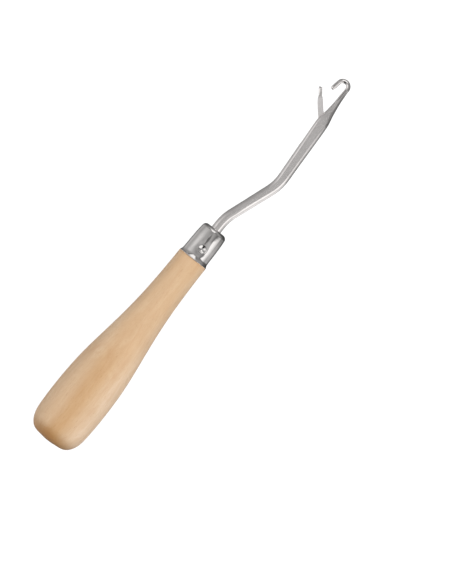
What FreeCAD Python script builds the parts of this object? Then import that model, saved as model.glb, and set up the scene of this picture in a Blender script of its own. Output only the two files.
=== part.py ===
import FreeCAD, Part
import math
import os

# Bent latch hook tool: turned wooden handle, drawn ferrule, bent and slotted
# steel shank ending in a hook, and a spoon-tipped latch on a flush rivet.
# Millimetres. The tool lies flat: +X runs along the handle's axis from the butt
# to the hook, the shank bends in the XY plane, the latch opens towards +Y, and
# +Z is up. The origin is the centre of the handle's flat butt face.

V = FreeCAD.Vector
ORIGIN = V(0, 0, 0)
X_AXIS = V(1, 0, 0)
Z_AXIS = V(0, 0, 1)

# ---- ferrule: profiles as x along the axis, radius ----------------------
SHOULDER_X = 81.95          # wood shoulder the ferrule's mouth stands on
FERRULE_LIP = [(SHOULDER_X, 5.640), (82.50, 5.440), (83.50, 5.278)]
FERRULE_SIDE = [FERRULE_LIP[-1], (85.50, 5.225), (88.00, 5.185), (90.50, 5.105),
                (92.20, 4.992), (93.47, 4.875)]
FERRULE_CORNER = [FERRULE_SIDE[-1], (94.497, 4.357), (94.911, 3.283)]
FERRULE_END_X = FERRULE_CORNER[-1][0]
MOUTH_INSIDE = [(SHOULDER_X, 5.140), (82.60, 4.880), (83.50, 4.778)]
SIDE_INSIDE = [MOUTH_INSIDE[-1], (85.50, 4.725), (88.00, 4.685), (90.50, 4.607),
               (92.20, 4.493), (93.42, 4.378)]
CORNER_INSIDE = [SIDE_INSIDE[-1], (94.127, 4.022), (94.411, 3.283)]
SHANK_HOLE_GAP = 0.01       # radial gap around the rod in the ferrule's end

# punched stake in the ferrule's upper side
STAKE_X = 86.46
STAKE_Y = -0.50
STAKE_SKIN_R = 5.205        # ferrule radius at the stake
STAKE_PIT_R = 1.30          # radius of the punch's ball end
STAKE_PIT_DEPTH = 0.78
STAKE_WALL = 0.42
DISH_R = 13.0               # wide shallow dish pressed in around the pit
DISH_DEPTH = 0.17

# ---- handle -------------------------------------------------------------
BUTT_FLAT_R = 2.30          # sanded flat at the butt end
HANDLE_PROFILE = [          # x along the axis, radius
    (0.00, BUTT_FLAT_R), (0.14, 3.17), (0.30, 4.50), (0.52, 5.80), (0.86, 6.72),
    (1.57, 7.70), (2.98, 8.82), (5.45, 9.83), (9.33, 10.31), (14.60, 10.51),
    (21.32, 10.49), (28.00, 10.21), (35.43, 9.495), (43.89, 8.33),
    (52.36, 7.235), (60.82, 6.44), (69.29, 6.005), (75.00, 5.850),
    (81.20, 5.785),
]
SHOULDER_EASE = [HANDLE_PROFILE[-1], (81.72, 5.752), (SHOULDER_X, 5.66)]
TENON_GAP = 0.02            # glue gap between tenon and ferrule
TENON_END_X = 94.02
TENON_END_R = 3.48

# ---- shank --------------------------------------------------------------
ROD_R = 1.93
TANG_START_X = 58.0         # where the tang's full round begins
TANG_TIP = 3.0              # length of the pointed end of the tang's hole
TANG_GAP = 0.02             # radial gap around the tang
TANG_END_GAP = 0.4          # the tang stops this far short of its hole's point
TANG_TIP_R = 0.25
LOFT_START_X = 95.40        # the rod is round and straight up to here
STRAIGHT_END_X = 96.2       # last lofted section before the first bend
BEND_R = 17.4               # centre-line radius of both bends
BEND1_X = 100.11            # where the straight centre lines cross
BEND2_X = 120.80
BEND2_Y = -7.33
BEND1_STEPS = 6
BEND2_STEPS = 7
BETWEEN_STEPS = 14          # steps along the straight between the bends
BLADE_HEADING = math.radians(3.47)      # blade rises towards +Y along +X
BLADE_START_X = 125.8
BLADE_PITCH = 1.17
BLADE_STATIONS = 17

# hook
HOOK_X = 162.26
HOOK_Y = -3.315
HOOK_R = 1.975
WIRE_R = 0.776
HOOK_TURN = math.radians(170.4)         # heading of the hook's free leg
HOOK_STEPS = 18
HOOK_LEG = 3.41
LEG_TAPER = [               # fraction of the leg's length, scale of the section
    (0.2, 1.0), (0.4, 1.0), (0.6, 1.0), (0.72, 0.985), (0.81, 0.95),
    (0.885, 0.88), (0.94, 0.77), (0.98, 0.62), (1.0, 0.46),
]

# centre line of the taper and the wire behind the hook, x and y
STEM = [
    (145.60, -5.823), (146.45, -5.771), (147.25, -5.724), (148.00, -5.683),
    (148.70, -5.647), (149.40, -5.627), (150.10, -5.620), (150.80, -5.610),
    (151.50, -5.597), (152.20, -5.582), (153.00, -5.562), (153.90, -5.536),
    (154.90, -5.496), (155.90, -5.448), (156.90, -5.400), (157.90, -5.357),
    (158.90, -5.332), (159.90, -5.312), (160.90, -5.298), (161.60, -5.292),
]

# section along the shank: x of the centre line, half-width in the plane of the
# bend, half-thickness, half-width of the flat, and the flat's shift towards +Y
SECTION = [
    (TANG_START_X, ROD_R, ROD_R, 0.042, 0.000), (100.40, ROD_R, ROD_R, 0.042, 0.000),
    (104.56, 1.931, 1.900, 0.300, 0.000), (108.79, 1.940, 1.836, 0.560, 0.000),
    (113.02, 1.978, 1.770, 0.660, 0.000), (117.26, 2.024, 1.708, 0.740, 0.000),
    (120.78, 2.058, 1.660, 0.850, 0.000), (123.60, 2.078, 1.625, 0.950, 0.000),
    (126.43, 2.100, 1.590, 1.020, 0.000), (131.36, 2.144, 1.552, 1.090, 0.000),
    (138.42, 2.250, 1.500, 1.220, 0.000), (143.35, 2.320, 1.464, 1.370, 0.000),
    (146.18, 2.336, 1.446, 1.450, 0.000), (147.25, 2.318, 1.441, 1.470, 0.010),
    (148.29, 2.256, 1.428, 1.440, 0.053), (149.00, 2.162, 1.411, 1.358, 0.123),
    (149.70, 2.020, 1.383, 1.234, 0.194), (150.41, 1.860, 1.340, 1.093, 0.265),
    (151.11, 1.720, 1.291, 0.970, 0.317), (151.82, 1.575, 1.234, 0.846, 0.353),
    (152.53, 1.450, 1.182, 0.705, 0.388), (153.94, 1.270, 1.076, 0.459, 0.406),
    (154.99, 1.155, 1.005, 0.335, 0.335), (156.05, 1.040, 0.952, 0.229, 0.247),
    (157.11, 0.977, 0.903, 0.148, 0.159), (158.17, 0.917, 0.868, 0.099, 0.078),
    (159.58, 0.839, 0.822, 0.053, 0.018), (161.00, 0.790, 0.790, 0.042, 0.000),
    (HOOK_X, WIRE_R, WIRE_R, 0.042, 0.000),
]
ROUND_FLAT = 0.05           # a flat with a smaller half-width counts as round

# ---- latch, its pivot and its slot --------------------------------------
PIVOT = V(147.235, -5.75, 0)
PIVOT_R = 0.40
PIVOT_RUNNING_GAP = 0.03
RIVET_HALF_LENGTH = 1.440   # ground flush with the blade's flats
LATCH_THICKNESS = 0.80
LATCH_EYE_R = 1.10
LATCH_REST_ANGLE = 41.5     # latch directions in degrees from +X
LATCH_CLOSED_ANGLE = 27.0
LATCH_OPEN_ANGLE = 163.0
SLOT_WIDTH = 0.92
SLOT_FLOOR_R = 1.26
SLOT_SIDE_GAP = 0.06        # gap below the latch's edge at either end of its swing
SLOT_EXTRA_ANGLE = 0.7      # swing allowed past each end, degrees
SLOT_REACH = 16.0           # length of the cutting wedge's two floors
SLOT_RISE = 6               # the wedge's extra height towards +Y
SLOT_END_X = 157.5          # the slot stops here, short of the hook

# The latch is drawn along +X from its pivot, hook side towards -Y.
TONGUE = [                  # x and y of the flat tongue: back edge, then hook edge
    (0.0, LATCH_EYE_R), (7.40, 1.060), (8.30, 0.960), (9.10, 0.840), (9.80, 0.660),
    (10.60, 0.360), (10.60, -0.460), (9.95, -0.690), (9.60, -0.800), (9.20, -0.870),
    (8.50, -0.900), (5.60, -0.880), (0.0, -LATCH_EYE_R),
]
TONGUE_CHAMFER = 0.10
LONG_EDGE = 2.0             # straight edges longer than this are eased
SPOON_START = 9.45
SPOON_END = 13.30
SPOON_PLAN = [              # x and half-width in z, seen along the swing
    (SPOON_START, 0.34), (9.90, 0.42), (10.40, 0.62), (11.10, 0.88), (11.90, 0.98),
    (12.60, 0.90), (13.05, 0.62), (13.24, 0.32),
]
SPOON_BACK = [              # x and y, seen from the side
    (SPOON_START, 0.56), (10.20, 0.50), (11.60, 0.42), (12.60, 0.34), (SPOON_END, 0.20),
]
SPOON_BELLY = [
    (SPOON_END, -0.92), (12.60, -0.90), (11.40, -0.80), (10.20, -0.70),
    (SPOON_START, -0.66),
]
SPOON_BLANK = 3             # depth of the two crossed extrusions
BACK_ROUND_R = 1.16
BACK_ROUND_START = V(8.6, -0.66, 0)
BACK_ROUND_LENGTH = 6.0
BACK_ROUND_DIR = V(1, -0.02, 0)
CUP_R = 0.74
CUP_START = V(11.15, -1.00, 0)
CUP_LENGTH = 3.4


# ---- helpers ------------------------------------------------------------
def save(name, shape):
    shape = shape.removeSplitter()
    if shape.ShapeType != "Solid" and len(shape.Solids) == 1:
        shape = shape.Solids[0]
    assert len(shape.Solids) == 1, (name, len(shape.Solids))
    assert shape.isValid(), name
    shape.exportStep("parts/" + name + ".step")


def flat_vectors(points):
    return [V(x, y, 0) for x, y in points]


def spline_through(vectors):
    curve = Part.BSplineCurve()
    curve.interpolate(Points=vectors)
    return curve.toShape()


def spline(points):
    return spline_through(flat_vectors(points))


def arc(points):
    return Part.Arc(*flat_vectors(points)).toShape()


def lines(*points):
    """straight edges joining the points in turn"""
    vectors = flat_vectors(points)
    return [Part.makeLine(start, end) for start, end in zip(vectors, vectors[1:])]


def revolve(edges):
    return Part.Face(Part.Wire(edges)).revolve(ORIGIN, X_AXIS, 360)


def polygon_face(vectors):
    return Part.Face(Part.makePolygon(vectors + [vectors[0]]))


def extrude_centred(face, extent):
    return face.extrude(extent).translated(extent * -0.5)


def z_cylinder(radius, height, centre):
    return Part.makeCylinder(radius, height, centre - V(0, 0, height / 2), Z_AXIS)


def polar(radius, degrees):
    angle = math.radians(degrees)
    return V(radius * math.cos(angle), radius * math.sin(angle), 0)


def on_stake(height):
    """point on the stake's axis at a distance from the handle's axis"""
    tilt = math.asin(STAKE_Y / STAKE_SKIN_R)
    return V(STAKE_X, 0, 0) + V(0, math.sin(tilt), math.cos(tilt)) * height


PIT_CENTRE = on_stake(STAKE_SKIN_R - DISH_DEPTH - STAKE_PIT_DEPTH + STAKE_PIT_R)


# ---- ferrule ------------------------------------------------------------
def build_ferrule():
    hole_r = ROD_R + SHANK_HOLE_GAP
    outside = [arc(FERRULE_LIP), spline(FERRULE_SIDE), arc(FERRULE_CORNER)]
    skin = revolve(
        outside
        + lines(FERRULE_CORNER[-1], (FERRULE_END_X, hole_r),
                (CORNER_INSIDE[-1][0], hole_r), CORNER_INSIDE[-1])
        + [arc(CORNER_INSIDE), spline(SIDE_INSIDE), arc(MOUTH_INSIDE)]
        + lines(MOUTH_INSIDE[0], FERRULE_LIP[0]))
    filled = revolve(
        outside
        + lines(FERRULE_CORNER[-1], (FERRULE_END_X, 0), (SHOULDER_X, 0), FERRULE_LIP[0]))
    # the boss is the metal pushed inwards around the punch mark
    boss = Part.makeSphere(STAKE_PIT_R + STAKE_WALL, PIT_CENTRE).common(filled)
    dish = Part.makeSphere(DISH_R, on_stake(STAKE_SKIN_R - DISH_DEPTH + DISH_R))
    pit = Part.makeSphere(STAKE_PIT_R, PIT_CENTRE)
    return skin.fuse(boss).cut(dish).cut(pit)


# ---- handle -------------------------------------------------------------
def build_handle():
    tenon_mouth = [(x, radius - TENON_GAP) for x, radius in MOUTH_INSIDE]
    tenon_side = [(x, radius - TENON_GAP) for x, radius in SIDE_INSIDE]
    handle = revolve(
        lines((0, 0), HANDLE_PROFILE[0])
        + [spline(HANDLE_PROFILE), arc(SHOULDER_EASE)]
        + lines(SHOULDER_EASE[-1], tenon_mouth[0])
        + [arc(tenon_mouth), spline(tenon_side)]
        + lines(tenon_side[-1], (TENON_END_X, TENON_END_R), (TENON_END_X, 0), (0, 0)))
    hole_r = ROD_R + TANG_GAP
    hole = Part.makeCylinder(hole_r, TENON_END_X - TANG_START_X + 1,
                             V(TANG_START_X, 0, 0), X_AXIS)
    hole_point = Part.makeCone(0.0, hole_r, TANG_TIP,
                               V(TANG_START_X - TANG_TIP, 0, 0), X_AXIS)
    handle = handle.cut(hole.fuse(hole_point))
    return handle.cut(Part.makeSphere(STAKE_PIT_R + STAKE_WALL + TENON_GAP, PIT_CENTRE))


# ---- shank --------------------------------------------------------------
def bend(corner_x, corner_y, heading_in, heading_out, steps):
    """centre-line stations (x, y, heading) of a bend between two headings"""
    turn = heading_out - heading_in
    setback = BEND_R * math.tan(abs(turn) / 2)
    radius = BEND_R if turn > 0 else -BEND_R
    centre_x = corner_x - setback * math.cos(heading_in) - radius * math.sin(heading_in)
    centre_y = corner_y - setback * math.sin(heading_in) + radius * math.cos(heading_in)
    stations = []
    for i in range(steps + 1):
        heading = heading_in + turn * i / steps
        stations.append((centre_x + radius * math.sin(heading),
                         centre_y - radius * math.cos(heading), heading))
    return stations


def stations_to_hook():
    """stations (x, y, heading) from the start of the loft to the hook"""
    between = math.atan2(BEND2_Y, BEND2_X - BEND1_X)
    bend1 = bend(BEND1_X, 0.0, 0.0, between, BEND1_STEPS)
    bend2 = bend(BEND2_X, BEND2_Y, between, BLADE_HEADING, BEND2_STEPS)
    path = [(LOFT_START_X, 0.0, 0.0), (STRAIGHT_END_X, 0.0, 0.0)] + bend1
    start_x, start_y, _ = bend1[-1]
    end_x, end_y, _ = bend2[0]
    for i in range(1, BETWEEN_STEPS):
        fraction = i / BETWEEN_STEPS
        path.append((start_x + fraction * (end_x - start_x),
                     start_y + fraction * (end_y - start_y), between))
    path += bend2
    for i in range(BLADE_STATIONS):
        x = BLADE_START_X + BLADE_PITCH * i
        path.append((x, BEND2_Y + (x - BEND2_X) * math.tan(BLADE_HEADING), BLADE_HEADING))
    # each stem station heads along the line joining its two neighbours
    chain = [path[-1][:2]] + STEM + [(HOOK_X, HOOK_Y - HOOK_R)]
    for before, here, after in zip(chain, chain[1:], chain[2:]):
        heading = math.atan2(after[1] - before[1], after[0] - before[0])
        path.append((here[0], here[1], heading))
    return path


def section_at(x):
    for before, after in zip(SECTION, SECTION[1:]):
        if x <= after[0]:
            break
    fraction = (x - before[0]) / (after[0] - before[0])
    return [low + fraction * (high - low) for low, high in zip(before[1:], after[1:])]


def section_wire(station, section, scale=1.0):
    """two flats, at +Z and -Z, joined by an arc on each side"""
    x, y, heading = station
    half_width, half_thick, half_flat = [size * scale for size in section[:3]]
    shift = section[3]
    # a round section's flat is a sliver chord of its circle
    if half_flat < ROUND_FLAT:
        half_thick = math.sqrt(max(half_thick ** 2 - half_flat ** 2, 0))
    centre = V(x, y, 0)
    left = V(-math.sin(heading), math.cos(heading), 0)
    up = Z_AXIS * half_thick
    flat_left = centre + left * (shift + half_flat)
    flat_right = centre + left * (shift - half_flat)
    return Part.Wire([
        Part.makeLine(flat_left + up, flat_right + up),
        Part.Arc(flat_right + up, centre - left * half_width, flat_right - up).toShape(),
        Part.makeLine(flat_right - up, flat_left - up),
        Part.Arc(flat_left - up, centre + left * half_width, flat_left + up).toShape(),
    ])


def shank_wires():
    wires = [section_wire(station, section_at(station[0])) for station in stations_to_hook()]
    wire_section = SECTION[-1][1:]
    for i in range(HOOK_STEPS + 1):
        heading = HOOK_TURN * i / HOOK_STEPS
        x = HOOK_X + HOOK_R * math.sin(heading)
        y = HOOK_Y - HOOK_R * math.cos(heading)
        wires.append(section_wire((x, y, heading), wire_section))
    # the free leg runs straight on from the end of the hook's arc
    for fraction, scale in LEG_TAPER:
        reach = fraction * HOOK_LEG
        station = (x + reach * math.cos(heading), y + reach * math.sin(heading), heading)
        wires.append(section_wire(station, wire_section, scale))
    return wires


def latch_slot():
    """slot open towards +Y, spanning the latch's swing"""
    floor_offset = LATCH_EYE_R + SLOT_SIDE_GAP
    closed_angle = LATCH_CLOSED_ANGLE - SLOT_EXTRA_ANGLE
    open_angle = LATCH_OPEN_ANGLE + SLOT_EXTRA_ANGLE
    closed_floor = PIVOT + polar(floor_offset, closed_angle - 90)
    open_floor = PIVOT + polar(floor_offset, open_angle + 90)
    closed_far = closed_floor + polar(SLOT_REACH, closed_angle)
    open_far = open_floor + polar(SLOT_REACH, open_angle)
    rise = V(0, SLOT_RISE, 0)
    outline = [open_floor, open_far, open_far + rise,
               closed_far + rise, closed_far, closed_floor]
    wedge = extrude_centred(polygon_face(outline), V(0, 0, SLOT_WIDTH))
    well = z_cylinder(SLOT_FLOOR_R, SLOT_WIDTH, PIVOT)
    slot = wedge.fuse(well).common(Part.makeBox(30, 20, 4, V(130, -10, -2)))
    keep_hook = Part.makeBox(20, 12, 4, V(SLOT_END_X, -8, -2))
    return slot.cut(keep_hook)


def build_shank():
    shank = Part.makeLoft(shank_wires(), True, False)
    tang = Part.makeCylinder(ROD_R, LOFT_START_X - TANG_START_X,
                             V(TANG_START_X, 0, 0), X_AXIS)
    shank = shank.fuse(tang)
    point_length = TANG_TIP - TANG_END_GAP
    point = Part.makeCone(TANG_TIP_R, ROD_R, point_length,
                          V(TANG_START_X - point_length, 0, 0), X_AXIS)
    shank = shank.fuse(point)
    shank = shank.cut(latch_slot())
    return shank.cut(z_cylinder(PIVOT_R, 6, PIVOT))


# ---- latch --------------------------------------------------------------
def build_tongue():
    tongue = extrude_centred(polygon_face(flat_vectors(TONGUE)), V(0, 0, LATCH_THICKNESS))
    eye = z_cylinder(LATCH_EYE_R, LATCH_THICKNESS, ORIGIN)
    tongue = tongue.fuse(eye).removeSplitter()
    # the stamping's long edges are eased
    long_edges = [edge for edge in tongue.Edges
                  if edge.Curve.TypeId == "Part::GeomLine"
                  and abs(edge.Vertexes[0].Z - edge.Vertexes[1].Z) < 1e-6
                  and edge.Length > LONG_EDGE]
    return tongue.makeChamfer(TONGUE_CHAMFER, long_edges)


def build_spoon():
    """an oval seen along the swing, crossed with the outline seen from the side"""
    upper = [V(x, 0, z) for x, z in SPOON_PLAN]
    lower = [V(x, 0, -z) for x, z in SPOON_PLAN]
    tip = Part.Arc(upper[-1], V(SPOON_END, 0, 0), lower[-1]).toShape()
    plan_face = Part.Face(Part.Wire([spline_through(upper), tip, spline_through(lower),
                                     Part.makeLine(lower[0], upper[0])]))
    side_face = Part.Face(Part.Wire(
        [spline(SPOON_BACK)] + lines(SPOON_BACK[-1], SPOON_BELLY[0])
        + [spline(SPOON_BELLY)] + lines(SPOON_BELLY[-1], SPOON_BACK[0])))
    spoon = extrude_centred(plan_face, V(0, SPOON_BLANK, 0)).common(
        extrude_centred(side_face, V(0, 0, SPOON_BLANK)))
    # the spoon's back is rounded across, like the back of a half tube
    return spoon.common(Part.makeCylinder(BACK_ROUND_R, BACK_ROUND_LENGTH,
                                          BACK_ROUND_START, BACK_ROUND_DIR))


def build_latch():
    # the cup takes the hook's point
    cup = Part.makeCylinder(CUP_R, CUP_LENGTH, CUP_START, X_AXIS)
    cup = cup.fuse(Part.makeSphere(CUP_R, CUP_START))
    latch = build_tongue().fuse(build_spoon()).cut(cup)
    latch = latch.cut(z_cylinder(PIVOT_R + PIVOT_RUNNING_GAP, 4, ORIGIN))
    latch.rotate(ORIGIN, Z_AXIS, LATCH_REST_ANGLE)
    latch.translate(PIVOT)
    return latch


os.makedirs("parts", exist_ok=True)
save("ferrule", build_ferrule())
save("handle", build_handle())
save("latch_rivet", z_cylinder(PIVOT_R, 2 * RIVET_HALF_LENGTH, PIVOT))
save("hook_shank", build_shank())
save("latch", build_latch())
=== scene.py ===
# A latch hook tool: wooden handle, plated ferrule with a punched stake, steel hook shank
# and a riveted latch. It lies along x, with the handle's butt near x = 0 and the hook at
# the +X end, over a floor seen from straight above. The scene is in metres; the ferrule
# and the materials are worked out in millimetres.
import math

import bmesh
import bpy
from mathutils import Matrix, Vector

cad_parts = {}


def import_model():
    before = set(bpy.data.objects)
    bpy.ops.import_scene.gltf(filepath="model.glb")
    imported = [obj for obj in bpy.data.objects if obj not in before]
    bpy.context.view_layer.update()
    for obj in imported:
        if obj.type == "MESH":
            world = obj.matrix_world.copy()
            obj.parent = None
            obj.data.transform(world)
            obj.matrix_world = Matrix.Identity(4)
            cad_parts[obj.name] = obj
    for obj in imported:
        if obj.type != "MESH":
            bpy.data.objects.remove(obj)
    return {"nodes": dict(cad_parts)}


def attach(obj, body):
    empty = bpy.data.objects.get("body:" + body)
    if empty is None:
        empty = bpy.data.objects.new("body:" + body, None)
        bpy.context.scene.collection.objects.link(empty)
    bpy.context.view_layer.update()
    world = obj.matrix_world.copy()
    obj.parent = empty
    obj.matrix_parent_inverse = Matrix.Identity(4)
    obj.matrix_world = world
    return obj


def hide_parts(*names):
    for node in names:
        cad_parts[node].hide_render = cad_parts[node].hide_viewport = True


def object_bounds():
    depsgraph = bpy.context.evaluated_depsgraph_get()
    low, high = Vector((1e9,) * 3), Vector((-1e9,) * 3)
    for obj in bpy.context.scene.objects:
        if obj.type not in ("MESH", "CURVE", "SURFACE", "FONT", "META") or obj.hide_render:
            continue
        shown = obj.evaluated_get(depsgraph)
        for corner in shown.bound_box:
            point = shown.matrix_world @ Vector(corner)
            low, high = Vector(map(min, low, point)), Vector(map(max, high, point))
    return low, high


MM = 0.001
WARMTH = (1.0, 0.985, 0.975, 1.0)    # tint of all studio reflections
OBJECT_AXES = dict(kind="ShaderNodeTexCoord", output="Object")


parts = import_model()["nodes"]
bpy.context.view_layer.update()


# ---------------------------------------------------------------- shader helpers
class Shader:
    """Short calls that add shader nodes; most return the new node's output socket."""

    def __init__(self, owner):
        owner.use_nodes = True
        self.tree = owner.node_tree
        self.tree.nodes.clear()

    def link(self, value, socket):
        if isinstance(value, bpy.types.NodeSocket):
            self.tree.links.new(value, socket)
        else:
            socket.default_value = value

    def node(self, kind, inputs=(), output=0, **settings):
        """inputs is a sequence in socket order, or a dict by socket name or index"""
        made = self.tree.nodes.new(kind)
        for name, value in settings.items():
            setattr(made, name, value)
        for key, value in inputs.items() if isinstance(inputs, dict) else enumerate(inputs):
            self.link(value, made.inputs[key])
        return made.outputs[output]

    def finish(self, shader, output="ShaderNodeOutputMaterial"):
        self.link(shader, self.tree.nodes.new(output).inputs[0])

    def calc(self, operation, first, second=0.0):
        return self.node("ShaderNodeMath", (first, second, 0.0), operation=operation)

    def add(self, first, second):
        return self.calc("ADD", first, second)

    def sub(self, first, second):
        return self.calc("SUBTRACT", first, second)

    def mul(self, first, second):
        return self.calc("MULTIPLY", first, second)

    def absolute(self, value):
        return self.calc("ABSOLUTE", value)

    def square(self, value):
        return self.calc("POWER", value, 2.0)

    def radius(self, first, second):
        return self.calc("SQRT", self.add(self.square(first), self.square(second)))

    def waver(self, value, noise, reach):
        """value, moved both ways by a noise centred on 0.5"""
        return self.add(value, self.mul(self.sub(noise, 0.5), reach))

    def mix(self, factor, first, second, blend="MIX"):
        return self.node("ShaderNodeMix", {0: factor, 6: first, 7: second}, output=2,
                         data_type="RGBA", blend_type=blend)

    def multiply(self, colour, tint):
        return self.mix(1.0, colour, tint, "MULTIPLY")

    def tint(self, factor, colour, tint):
        return self.mix(factor, colour, self.multiply(colour, tint))

    def ramp(self, value, stops, interpolation="LINEAR"):
        """grey ramp; stops are (position, grey)"""
        socket = self.node("ShaderNodeValToRGB", (value,))
        ramp = socket.node.color_ramp
        ramp.interpolation = interpolation
        while len(ramp.elements) < len(stops):
            ramp.elements.new(0.5)
        for element, (position, grey) in zip(ramp.elements, stops):
            element.position = position
            element.color = (grey, grey, grey, 1)
        return socket

    def remap(self, value, span, result, style="LINEAR"):
        """value running over span gives result, clamped"""
        return self.node("ShaderNodeMapRange", (value, *span, *result),
                         interpolation_type=style)

    def fade(self, value, span, result=(0.0, 1.0)):
        """remap with soft ends"""
        return self.remap(value, span, result, "SMOOTHSTEP")

    def split(self, vector):
        return self.node("ShaderNodeSeparateXYZ", (vector,)).node.outputs

    def normal(self, axis):
        return self.split(self.node("ShaderNodeNewGeometry", output="Normal"))[axis]

    def noise(self, point, per_axis, detail=4.0, rough=0.5, distortion=0.0, output=0):
        """noise with its own frequency along each axis"""
        scaled = [self.mul(value, scale) for value, scale in zip(self.split(point), per_axis)]
        return self.node("ShaderNodeTexNoise", {
            "Vector": self.node("ShaderNodeCombineXYZ", scaled), "Scale": 1.0,
            "Detail": detail, "Roughness": rough, "Distortion": distortion}, output)

    def bump(self, height, strength, distance):
        return self.node("ShaderNodeBump", {
            "Height": height, "Strength": strength, "Distance": distance})


def start_material(name):
    """a new material, its shader and the object position in millimetres"""
    material = bpy.data.materials.new(name)
    shader = Shader(material)
    point = shader.node("ShaderNodeVectorMath", {
        0: shader.node(**OBJECT_AXES), "Scale": 1 / MM}, operation="SCALE")
    return material, shader, point


def rgb(*colour):
    """an sRGB colour, 0 to 255, as linear"""
    def linear(value):
        value /= 255.0
        return value / 12.92 if value <= 0.04045 else ((value + 0.055) / 1.055) ** 2.4
    return (*map(linear, colour), 1.0)


def studio_level(grey):
    """brightness of a studio surface from its grey, 0 to 255"""
    return rgb(grey, grey, grey)[0] * 1.16


# ---------------------------------------------------------------- wood
PITH_Y, PITH_Z = -21.0, -33.0    # centre line of the growth rings, mm
RINGS_PER_MM = 0.31
RING_STOPS = [(0.0, 0.25), (0.45, 0.42), (0.80, 0.62), (0.93, 1.0), (1.0, 0.25)]


def growth_rings(sh, y, z, wander):
    """soft early wood and a slightly darker late wood line"""
    bent_y = sh.waver(y, wander[1], reach=5.0)
    bent_z = sh.waver(z, wander[2], reach=5.0)
    radius = sh.radius(sh.add(bent_y, -PITH_Y), sh.add(bent_z, -PITH_Z))
    return sh.ramp(sh.calc("FRACT", sh.mul(radius, RINGS_PER_MM)), RING_STOPS, "EASE")


def wood_zones(sh, base, x, y, z, wander):
    """broad changes of tone over the handle, with painted light on the -Y side and painted
    shade at the butt
    """
    # an orange-brown streak along the top of the bulb
    streak_y = sh.waver(y, wander[0], reach=3.0)
    streak = sh.fade(sh.absolute(sh.sub(streak_y, 0.4)), (0.6, 4.6), (1, 0))
    streak = sh.mul(streak, sh.fade(x, (30.0, 50.0), (1, 0)))
    streak = sh.mul(streak, sh.fade(z, (0.0, 4.0)))
    flank = sh.fade(sh.absolute(y), (2.0, 7.5))
    # paler -Y side: partly the wood's tone, partly painted light from the key lamp's side
    pale_tone_and_light = sh.mul(sh.fade(y, (-8.0, -2.5), (1, 0)), sh.fade(x, (25.0, 60.0), (1, 0.25)))
    # darker butt: partly the end grain's tone, partly painted shade, deepest on the +Y side
    # away from the key lamp
    butt_tone_and_shade = sh.mul(sh.fade(x, (0.4, 6.0), (1, 0)), sh.fade(y, (-9.0, 2.0), (0.72, 1)))
    base = sh.multiply(base, (0.748, 0.718, 0.645, 1.0))    # overall tone
    for zone, tint in (
        (flank, (0.985, 1.0, 1.045, 1.0)),    # both sides
        (pale_tone_and_light, (1.175, 1.235, 1.345, 1.0)),   # paler band on the -Y side, partly the wood's tone and partly painted light on the side facing the key lamp
        (streak, (0.90, 0.82, 0.69, 1.0)),
        (butt_tone_and_shade, (0.59, 0.40, 0.13, 1.0)),
    ):
        base = sh.tint(zone, base, tint)
    return base


def wood_ends(sh, base, point, x, y):
    """darker end grain at the butt, darker wood towards the ferrule, and painted shade along
    the top of the ferrule joint
    """
    # end grain drinks more lacquer
    end_grain = sh.fade(sh.absolute(sh.normal(0)), (0.35, 0.98), (0, 0.62))
    rays = sh.noise(point, (0.5, 1.6, 5.5), rough=0.6)
    base = sh.mix(end_grain, base, sh.mix(rays, rgb(186, 144, 99), rgb(160, 117, 73)))
    # darker towards the ferrule's mouth
    base = sh.mix(sh.fade(x, (80.6, 81.9), (0, 0.30)), base, rgb(166, 124, 84))
    # painted shade in the joint with the ferrule, on the top centre only
    painted_joint_shade = sh.mul(sh.fade(x, (81.45, 81.70), (0, 0.62)),
                   sh.fade(sh.absolute(sh.sub(y, 0.5)), (1.9, 3.4), (1, 0)))
    return sh.mix(painted_joint_shade, base, rgb(88, 74, 62))


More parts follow.
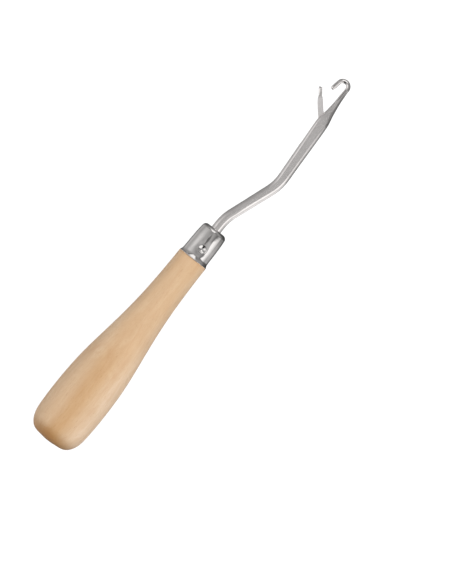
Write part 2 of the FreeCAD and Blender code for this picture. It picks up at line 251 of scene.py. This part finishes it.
def wood_material():
    """lacquered wood with its grain along x"""
    material, sh, point = start_material("handle_wood")
    x, y, z = sh.split(point)
    # slow wander of the grain along the handle
    wander = sh.split(sh.noise(point, (0.018, 0.05, 0.05), detail=3, output="Color"))
    ring = growth_rings(sh, y, z, wander)
    bands = sh.noise(point, (0.012, 0.22, 0.22), detail=3, rough=0.55, distortion=0.3)
    fibre = sh.noise(point, (0.16, 2.6, 2.6), detail=5, rough=0.62)
    fine = sh.noise(point, (0.9, 9.0, 9.0), detail=3, rough=0.6)
    mottle = sh.noise(point, (0.10, 0.24, 0.24), rough=0.6, distortion=0.6)
    patch = sh.noise(point, (0.042, 0.20, 0.20), detail=2, rough=0.45, distortion=0.3)
    # short dark pore dashes along the grain, and larger flecks
    dash = sh.fade(sh.noise(point, (0.75, 7.0, 7.0), detail=2), (0.645, 0.74))
    fleck = sh.noise(point, (0.30, 1.4, 1.4), detail=2, distortion=0.2)
    fleck = sh.fade(fleck, (0.63, 0.76))

    base = sh.mix(sh.fade(bands, (0.32, 0.68)), rgb(206, 178, 148), rgb(217, 193, 166))
    # layers from the bottom up: how much each covers, and its colour
    for cover, colour in (
        (sh.fade(mottle, (0.35, 0.70), (0, 0.55)), rgb(200, 168, 134)),
        (sh.mul(ring, 0.20), rgb(189, 141, 97)),
        (sh.remap(fibre, (0.38, 0.72), (0, 0.24)), rgb(190, 146, 104)),
        (sh.remap(fine, (0.40, 0.75), (0, 0.15)), rgb(177, 131, 90)),
        (sh.fade(patch, (0.36, 0.66), (0, 0.30)), rgb(214, 184, 152)),
        (sh.mul(dash, 0.38), rgb(146, 101, 66)),
        (sh.mul(fleck, 0.20), rgb(172, 124, 82)),
    ):
        base = sh.mix(cover, base, colour)
    base = wood_zones(sh, base, x, y, z, wander)
    base = wood_ends(sh, base, point, x, y)

    height = sh.add(sh.mul(fibre, 0.6), sh.mul(fine, 0.3))
    height = sh.sub(height, sh.mul(dash, 0.5))
    # faint turning marks around the handle
    turning = sh.noise(point, (3.2, 0.03, 0.03), detail=3, rough=0.6)
    height = sh.add(height, sh.mul(turning, 0.20))
    sh.finish(sh.node("ShaderNodeBsdfPrincipled", {
        "Base Color": base,
        "Roughness": sh.remap(fibre, (0.3, 0.7), (0.50, 0.62)),
        "Specular IOR Level": 0.30,
        "Coat Weight": 0.35,
        "Coat Roughness": sh.remap(mottle, (0.3, 0.7), (0.24, 0.38)),
        "Coat IOR": 1.45,
        "Normal": sh.bump(height, strength=0.35, distance=0.00006)}))
    return material


# ---------------------------------------------------------------- metals
# painted shade on top of the ferrule, in the stake and its drag crease: centre x, y, radius
# along x, y (mm), strength
PAINTED_SHADE_SPOTS = [
    (87.35, -0.50, 0.52, 0.46, 0.78),    # the stake's +X wall
    (90.25, -0.16, 2.7, 0.50, 0.62),     # the drag crease
    (85.00, -0.55, 0.22, 1.0, 0.45),     # the stake's -X edge
]
BURNISH_X, BURNISH_Y = 147.235, -5.75    # the latch is burnished away from this point, mm


def add_painted_shade(sh, point, colour):
    # painted shade: darkens the stake's walls and the drag crease on the ferrule's top
    x, y, z = sh.split(point)
    top = sh.remap(z, (3.0, 4.0), (0, 1))
    shade_mask = None
    for centre_x, centre_y, radius_x, radius_y, strength in PAINTED_SHADE_SPOTS:
        reach = sh.add(sh.square(sh.calc("DIVIDE", sh.sub(x, centre_x), radius_x)),
                       sh.square(sh.calc("DIVIDE", sh.sub(y, centre_y), radius_y)))
        spot = sh.mul(sh.mul(sh.fade(reach, (0.15, 1.0), (1, 0)), top), strength)
        shade_mask = spot if shade_mask is None else sh.calc("MAXIMUM", shade_mask, spot)
    return sh.mix(shade_mask, colour, rgb(44, 40, 38))


def burnish_cup(sh, point, roughness):
    """the latch's cup is burnished by the loops that slide over it"""
    x, y, _ = sh.split(point)
    distance = sh.radius(sh.sub(x, BURNISH_X), sh.add(y, -BURNISH_Y))
    return sh.mul(roughness, sh.fade(distance, (8.8, 10.0), (1, 0.32)))


def metal(name, tint, rough, scratch, bump_mm, line_dark=0.20, grain=(0.25, 6.0, 6.0),
          haze=0.0, painted_stake_shade=False, burnished=False):
    """Plated or ground steel: fine lines, cloudy sheen and specks.

    grain is the lines' frequency per axis, line_dark how dark they are, scratch how
    much they show in the gloss and bump, haze how much the flats scatter.
    """
    def shade(amount):
        return rgb(*[channel * amount for channel in tint])

    material, sh, point = start_material(name)
    lines = sh.noise(point, grain, rough=0.65)
    hair_grain = [scale * finer for scale, finer in zip(grain, (1.6, 3.1, 3.1))]
    hair = sh.noise(point, hair_grain, detail=2, rough=0.6)
    cloud = sh.noise(point, (0.35, 0.5, 0.5), rough=0.6, distortion=0.4)
    speck = sh.fade(sh.noise(point, (2.3, 2.3, 2.3), detail=2), (0.70, 0.80))

    colour = sh.mix(sh.fade(cloud, (0.35, 0.7), (0, 0.6)), rgb(*tint), shade(0.93))
    colour = sh.mix(sh.remap(lines, (0.35, 0.70), (0, line_dark)), colour, shade(0.78))
    colour = sh.mix(sh.mul(speck, 0.35), colour, shade(0.60))
    # painted shade in the stake and its drag crease
    if painted_stake_shade:
        colour = add_painted_shade(sh, point, colour)

    # ground flats scatter a little; rounded sides stay bright
    flat = sh.mul(sh.fade(sh.absolute(sh.normal(2)), (0.975, 0.998), (0, haze)),
                  sh.remap(hair, (0.25, 0.75), (0.55, 1.45)))

    roughness = sh.remap(cloud, (0.3, 0.7), (rough * 0.8, rough * 1.3))
    roughness = sh.waver(roughness, lines, reach=rough * scratch * 1.4)
    roughness = sh.add(roughness, sh.mul(speck, 0.10))
    if burnished:
        roughness = burnish_cup(sh, point, roughness)

    height = sh.add(sh.mul(lines, 0.7), sh.mul(hair, 0.3))
    sh.finish(sh.node("ShaderNodeBsdfPrincipled", {
        "Base Color": colour,
        "Metallic": sh.sub(1.0, flat),
        "Roughness": sh.calc("MAXIMUM", roughness, 0.02),
        "Normal": sh.bump(height, strength=scratch, distance=bump_mm / 1000.0)}))
    return material


# ---------------------------------------------------------------- meshes
def make_object(name, vertices, faces):
    mesh = bpy.data.meshes.new(name)
    mesh.from_pydata(vertices, [], faces)
    made = bpy.data.objects.new(name, mesh)
    bpy.context.scene.collection.objects.link(made)
    return made


def dress(part, material):
    """give a part one material and smooth shading"""
    part.data.materials.clear()
    part.data.materials.append(material)
    for face in part.data.polygons:
        face.use_smooth = True


def smoothstep(value, start, end):
    share = min(max((value - start) / (end - start), 0.0), 1.0)
    return share * share * (3 - 2 * share)


def bell(distance, width):
    return math.exp(-(distance / width) ** 2)


def arc_through(start, middle, end, count):
    """count points of the circle through three points, ends included"""
    (ax, ay), (bx, by), (cx, cy) = start, middle, end
    a2, b2, c2 = ax * ax + ay * ay, bx * bx + by * by, cx * cx + cy * cy
    divisor = 2 * (ax * (by - cy) + bx * (cy - ay) + cx * (ay - by))
    x = (a2 * (by - cy) + b2 * (cy - ay) + c2 * (ay - by)) / divisor
    y = (a2 * (cx - bx) + b2 * (ax - cx) + c2 * (bx - ax)) / divisor
    radius = math.hypot(ax - x, ay - y)
    first, via, last = (math.atan2(py - y, px - x) for px, py in (start, middle, end))
    while abs(via - first) > math.pi:
        via += 2 * math.pi if via < first else -2 * math.pi
    while abs(last - via) > math.pi:
        last += 2 * math.pi if last < via else -2 * math.pi
    angles = [first + (last - first) * i / (count - 1) for i in range(count)]
    return [(x + radius * math.cos(angle), y + radius * math.sin(angle)) for angle in angles]


def spline_through(points, step):
    """a Catmull-Rom curve through points, sampled about every step"""
    padded = [points[0], *points, points[-1]]
    curve = []
    for before, start, end, after in zip(padded, padded[1:], padded[2:], padded[3:]):
        count = max(2, int(math.hypot(end[0] - start[0], end[1] - start[1]) / step))
        for i in range(count):
            u = i / count
            curve.append(tuple(
                0.5 * (2 * b + (c - a) * u + (2 * a - 5 * b + 4 * c - d) * u * u
                       + (3 * b - a - 3 * c + d) * u ** 3)
                for a, b, c, d in zip(before, start, end, after)))
    return curve + [points[-1]]


# ---------------------------------------------------------------- ferrule
# The stake is a dent punched into the ferrule's top; lengths in mm.
# Angles around the ferrule run from +Z towards +Y.
STAKE_X = 86.46
STAKE_ANGLE = math.asin(-0.50 / 5.205)    # its y over the wall's radius there
STAKE_WALL_RADIUS = 5.2                   # turns angles into lengths around the wall
DISH_DEPTH, DISH_WIDTH = 0.34, 2.03       # wide soft dish
PUNCH_DEPTH, PUNCH_RADIUS, PUNCH_POWER = 0.50, 1.46, 1.35
RIM_HEIGHT, RIM_RADIUS, RIM_WIDTH = 0.032, 1.60, 0.20    # raised ring around the punch
DRAG_START, DRAG_END = (1.3, 2.4), (4.6, 6.0)    # fade in and out, along x from the stake
DRAG_CREASES = [(0.045, 0.44, 0.80), (0.125, 0.38, 0.32)]    # depth, place around, width
DENT_EDGE = (5.0, 6.5)                    # all of it fades out here, around the wall

# Angle steps, in radians: (distance from the stake below which it holds, step)
ANGLE_STEPS = [(0.52, 0.0125), (0.75, 0.024), (math.inf, 0.048)]

# Section points are (x, radius)
LIP = [(81.80, 5.690), (81.812, 5.738), (81.850, 5.762), (81.91, 5.757), (81.97, 5.725)]
LIP_FLARE = [(82.03, 5.685), (82.48, 5.478), (83.50, 5.278)]
SIDE = [(83.50, 5.278), (85.50, 5.225), (88.00, 5.185), (90.50, 5.105), (92.20, 4.992),
        (93.47, 4.875)]
CORNER = [(93.47, 4.875), (94.497, 4.357), (94.911, 3.283)]
END_HOLE = [(94.911, 2.90), (94.911, 2.45), (94.911, 2.12), (94.89, 1.99), (94.84, 1.945),
            (94.68, 1.940), (94.43, 1.940), (94.411, 1.99), (94.411, 2.60), (94.411, 3.283)]
INNER_CORNER = [(94.411, 3.283), (94.127, 4.022), (93.42, 4.378)]
INNER_SIDE = [(83.50, 4.778), (85.50, 4.725), (88.00, 4.685), (90.50, 4.607),
              (92.20, 4.493), (93.42, 4.378)]
INNER_MOUTH = [(83.50, 4.778), (82.60, 4.880), (81.98, 5.140)]
MOUTH_RIM = [(81.955, 5.20), (81.940, 5.36), (81.86, 5.50), (81.81, 5.60)]


def sink(x, angle):
    """how far the ferrule's wall is pushed in, mm"""
    along = x - STAKE_X
    around = STAKE_WALL_RADIUS * (angle - STAKE_ANGLE)
    distance = math.hypot(along, around)
    depth = DISH_DEPTH * bell(distance, DISH_WIDTH)
    depth += PUNCH_DEPTH * max(0.0, 1 - (distance / PUNCH_RADIUS) ** 2) ** PUNCH_POWER
    depth -= RIM_HEIGHT * bell(distance - RIM_RADIUS, RIM_WIDTH)
    # the punch dragged the metal a little towards the +X shoulder
    drag = smoothstep(along, *DRAG_START) * (1 - smoothstep(along, *DRAG_END))
    for crease_depth, place, width in DRAG_CREASES:
        depth += crease_depth * drag * bell(around - place, width)
    return depth * (1 - smoothstep(abs(around), *DENT_EDGE))


def ferrule_section():
    """closed section as (x, radius, whether the stake dents it)"""
    outer = (LIP + arc_through(*LIP_FLARE, count=16)[:-1]
             + spline_through(SIDE, step=0.075)[:-1] + arc_through(*CORNER, count=30))
    inner = (arc_through(*INNER_CORNER, count=10)[1:]
             + spline_through(INNER_SIDE, step=0.16)[::-1][1:]
             + arc_through(*INNER_MOUTH, count=6)[1:])
    runs = ((outer, True), (END_HOLE, False), (inner, True), (MOUTH_RIM, False))
    return [(x, radius, dented) for run, dented in runs for x, radius in run]


def ferrule_angles():
    """close steps around the stake, wide steps elsewhere"""
    angles, angle, end = [], STAKE_ANGLE - math.pi, STAKE_ANGLE + math.pi
    while angle < end - 1e-6:
        angles.append(angle)
        gap = abs(angle + 0.01 - STAKE_ANGLE)
        angle += next(step for limit, step in ANGLE_STEPS if gap < limit)
    if angles[-1] + 0.02 > end:
        angles.pop()    # too close to the first
    return angles


def build_ferrule(material):
    section, angles = ferrule_section(), ferrule_angles()
    vertices, faces = [], []
    for x, radius, dented in section:
        for angle in angles:
            pushed = radius - (sink(x, angle) if dented else 0.0)
            vertices.append((x * MM, pushed * math.sin(angle) * MM,
                             pushed * math.cos(angle) * MM))
    around = len(angles)
    for i in range(len(section)):
        row, next_row = i * around, (i + 1) % len(section) * around
        for j in range(around):
            k = (j + 1) % around
            faces.append((row + j, next_row + j, next_row + k, row + k))
    shell = make_object("ferrule_shell", vertices, faces)
    shell.data.validate()
    dress(shell, material)
    bm = bmesh.new()
    bm.from_mesh(shell.data)
    bmesh.ops.recalc_face_normals(bm, faces=bm.faces)
    bm.to_mesh(shell.data)
    bm.free()
    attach(shell, "tool")
    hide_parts("ferrule")


# ---------------------------------------------------------------- floor
FLOOR_HALF = 3.0
FLOOR_GAP = 0.00005    # below the lowest point of the tool


def build_floor():
    """bright to the camera, plain diffuse to the light, absent from reflections"""
    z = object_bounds()[0].z - FLOOR_GAP
    corners = [(x * FLOOR_HALF, y * FLOOR_HALF, z)
               for x, y in ((-1, -1), (1, -1), (1, 1), (-1, 1))]
    floor = make_object("floor", corners, [(0, 1, 2, 3)])
    floor.visible_glossy = False
    material = bpy.data.materials.new("floor")
    sh = Shader(material)
    glow = sh.node("ShaderNodeEmission", {"Color": (1, 1, 1, 1), "Strength": 0.90})
    shadow_catch = sh.node("ShaderNodeBsdfDiffuse", {"Color": (0.16, 0.16, 0.16, 1)})
    seen = sh.node("ShaderNodeAddShader", (glow, shadow_catch))
    lit = sh.node("ShaderNodeBsdfDiffuse", {"Color": (0.8, 0.8, 0.8, 1)})
    is_camera = sh.node("ShaderNodeLightPath", output="Is Camera Ray")
    sh.finish(sh.node("ShaderNodeMixShader", (is_camera, lit, seen)))
    floor.data.materials.append(material)


# ---------------------------------------------------------------- world
# What the metal sees. A profile is (angle from straight up in degrees, grey 0 to 255).
BRIGHT_END = [(0, 158), (10, 146), (18, 134), (26, 225), (32, 250), (52, 250), (63, 195),
              (78, 152), (94, 122), (110, 105), (130, 105), (160, 70), (180, 45)]
DARK_END = [(0, 158), (15, 138), (26, 56), (100, 40), (124, 60), (150, 60), (180, 40)]
# (compass direction in degrees from +X towards +Y, profile), in rising order
STUDIO = [
    (-158, DARK_END),
    (-130, [(0, 158), (20, 168), (34, 178), (60, 196), (90, 212), (130, 186), (152, 130),
            (180, 60)]),
    (-108, [(0, 158), (16, 172), (30, 176), (50, 186), (90, 212), (112, 234), (130, 226),
            (150, 210), (166, 180), (180, 90)]),
    (-92, [(0, 158), (12, 170), (24, 176), (36, 172), (60, 176), (90, 190), (108, 196),
           (126, 180), (146, 122), (164, 54), (180, 40)]),
    (-78, [(0, 158), (10, 158), (22, 160), (30, 140), (42, 100), (60, 108), (80, 112),
           (100, 92), (140, 70), (180, 40)]),
    (-60, [(0, 158), (20, 158), (32, 134), (52, 124), (70, 146), (92, 128), (110, 84),
           (150, 55), (180, 40)]),
    (-22, [(0, 158), (14, 150), (28, 112), (42, 118), (60, 150), (84, 132), (104, 84),
           (140, 70), (180, 45)]),
    (-6, BRIGHT_END),
    (30, BRIGHT_END),
    (48, [(0, 158), (16, 146), (30, 122), (50, 140), (78, 148), (100, 104), (120, 85),
          (180, 45)]),
    (70, [(0, 158), (20, 158), (34, 162), (48, 165), (60, 155), (80, 145), (110, 140),
          (140, 120), (160, 80), (180, 45)]),
    (90, [(0, 158), (10, 163), (24, 154), (33, 162), (41, 184), (50, 202), (60, 214),
          (70, 210), (80, 196), (90, 174), (100, 162), (112, 168), (126, 184), (140, 156),
          (150, 100), (164, 55), (180, 40)]),
    (132, [(0, 158), (16, 175), (30, 240), (50, 255), (70, 250), (110, 240), (132, 220),
           (152, 180), (180, 60)]),
    (180, DARK_END),
]


def build_world():
    """white to the camera; elsewhere the studio, blended between neighbouring profiles"""
    world = bpy.data.worlds.new("studio")
    bpy.context.scene.world = world
    sh = Shader(world)
    x, y, z = sh.split(sh.node("ShaderNodeTexCoord", output="Generated"))
    in_degrees = 180.0 / math.pi
    height = sh.calc("MINIMUM", sh.calc("MAXIMUM", z, -1.0), 1.0)
    zenith = sh.mul(sh.calc("ARCCOSINE", height), in_degrees)
    compass = sh.mul(sh.calc("ARCTAN2", y, x), in_degrees)

    directions = [direction for direction, _ in STUDIO]
    previous = [directions[-1] - 360] + directions[:-1]
    following = directions[1:] + [directions[0] + 360]
    studio = None
    for (direction, profile), before, after in zip(STUDIO, previous, following):
        # angle from this direction, -180 to 180; 900 keeps the modulo's input positive
        turned = sh.calc("MODULO", sh.add(compass, 900.0 - direction), 360.0)
        offset = sh.sub(turned, 180.0)
        weight = sh.mul(sh.remap(offset, (before - direction, 0), (0, 1)),
                        sh.remap(offset, (0, after - direction), (1, 0)))
        stops = [(angle / 180.0, studio_level(grey)) for angle, grey in profile]
        part = sh.mul(weight, sh.ramp(sh.calc("DIVIDE", zenith, 180.0), stops))
        studio = part if studio is None else sh.add(studio, part)

    seen = sh.node("ShaderNodeBackground", {"Color": (1, 1, 1, 1), "Strength": 1.0})
    reflected = sh.node("ShaderNodeBackground", {
        "Color": sh.multiply(studio, WARMTH), "Strength": 1.0})
    is_camera = sh.node("ShaderNodeLightPath", output="Is Camera Ray")
    sh.finish(sh.node("ShaderNodeMixShader", (is_camera, reflected, seen)),
              "ShaderNodeOutputWorld")


# ---------------------------------------------------------------- reflected panels
PANEL_STOPS = (0.0, 0.22, 0.42, 0.80, 1.0)    # heights of the greys, as shares of the top


def reflected_panel(name, corner, along, up, greys, fade=None):
    """A glowing rectangle that only mirror reflections see.

    fade is (start x, end x, grey): the panel turns to that grey over that stretch.
    """
    start, side, rise = Vector(corner), Vector(along), Vector(up)
    panel = make_object(name, [start, start + side, start + side + rise, start + rise],
                        [(0, 1, 2, 3)])
    material = bpy.data.materials.new(name)
    sh = Shader(material)
    point = sh.node(**OBJECT_AXES)
    height = sh.calc("DIVIDE", sh.split(point)[2], corner[2] + up[2])
    glow = sh.ramp(height, list(zip(PANEL_STOPS, map(studio_level, greys))))
    if fade:
        fade_start, fade_end, grey = fade
        glow = sh.mix(sh.fade(sh.split(point)[0], (fade_start, fade_end)), glow,
                      (studio_level(grey),) * 3 + (1.0,))
    sh.finish(sh.node("ShaderNodeEmission", {
        "Color": sh.multiply(glow, WARMTH), "Strength": 1.0}))
    panel.data.materials.append(material)
    for ray in ("camera", "diffuse", "shadow", "transmission", "volume_scatter"):
        setattr(panel, "visible_" + ray, False)


# ---------------------------------------------------------------- lamps and camera
LAMP_TARGET = (0.08, 0.0, 0.0)
# name, place, disk diameter, power in watts
LAMPS = [
    ("key", (0.42, -0.55, 0.75), 0.55, 7.8),
    ("fill", (-0.10, 0.60, 0.80), 0.60, 3.8),
    ("top", (0.15, 0.0, 1.0), 0.70, 3.0),
]
VIEW_CENTRE = (0.079977, -0.016452)
VIEW_SIZE = 0.2059768    # height of the view at z = 0
VIEW_TURN = -51.32       # degrees about z
LENS, SENSOR = 200.0, 36.0


def add_lamps():
    """soft lamps, unseen in the metal"""
    for name, place, size, power in LAMPS:
        light = bpy.data.lights.new(name, "AREA")
        light.shape = "DISK"
        light.size = size
        light.energy = power
        lamp = bpy.data.objects.new(name, light)
        lamp.location = place
        aim = Vector(LAMP_TARGET) - Vector(place)
        lamp.rotation_euler = aim.to_track_quat("-Z", "Y").to_euler()
        lamp.visible_glossy = False
        bpy.context.scene.collection.objects.link(lamp)


def add_camera():
    """looks straight down, turned so that the tool lies across the view"""
    lens = bpy.data.cameras.new("camera")
    lens.lens = LENS
    lens.sensor_fit = "VERTICAL"
    lens.sensor_height = SENSOR
    lens.sensor_width = SENSOR
    lens.clip_start = 0.01
    lens.clip_end = 20.0
    camera = bpy.data.objects.new("camera", lens)
    camera.location = (*VIEW_CENTRE, VIEW_SIZE * LENS / SENSOR)
    camera.rotation_euler = (0.0, 0.0, math.radians(VIEW_TURN))
    bpy.context.scene.collection.objects.link(camera)
    bpy.context.scene.camera = camera


# ---------------------------------------------------------------- build
wood = wood_material()
nickel = metal("ferrule_plate", tint=(243, 241, 240), rough=0.028, scratch=0.25,
               bump_mm=0.0003, line_dark=0.08, painted_stake_shade=True)
steel = metal("shank_steel", tint=(252, 249, 248), rough=0.12, scratch=0.45,
              bump_mm=0.0016, line_dark=0.26, grain=(0.10, 6.5, 6.5), haze=0.065)
latch = metal("latch_steel", tint=(250, 247, 246), rough=0.38, scratch=0.35,
              bump_mm=0.004, line_dark=0.18, haze=0.110, burnished=True)
rivet = metal("rivet_steel", tint=(248, 245, 243), rough=0.16, scratch=0.5,
              bump_mm=0.003, grain=(5.0, 5.0, 5.0), haze=0.05)
for part_name, part_material in (("handle", wood), ("ferrule", nickel),
                                 ("hook_shank", steel), ("latch", latch),
                                 ("latch_rivet", rivet)):
    dress(parts[part_name], part_material)

build_ferrule(nickel)
build_floor()
build_world()
# off on the -Y side, brightest above its middle; it fades out towards its +X end
reflected_panel("softbox", corner=(0.272, -0.73, 0.02), along=(-1.942, 0.0, 0.0),
                up=(0.0, 0.0, 0.80), greys=(190, 220, 246, 251, 190),
                fade=(0.178, 0.272, 122))
# a small dark flag close to the hook keeps its upper wire from washing out
reflected_panel("flag", corner=(0.1900, 0.0990, 0.050), along=(-0.025, 0.0, 0.0),
                up=(0.0, 0.0, 0.115), greys=(96,) * 5)
add_lamps()
add_camera()

view = bpy.context.scene.view_settings
view.view_transform = "Standard"
view.look = "None"
view.exposure = 0.0
view.gamma = 1.0
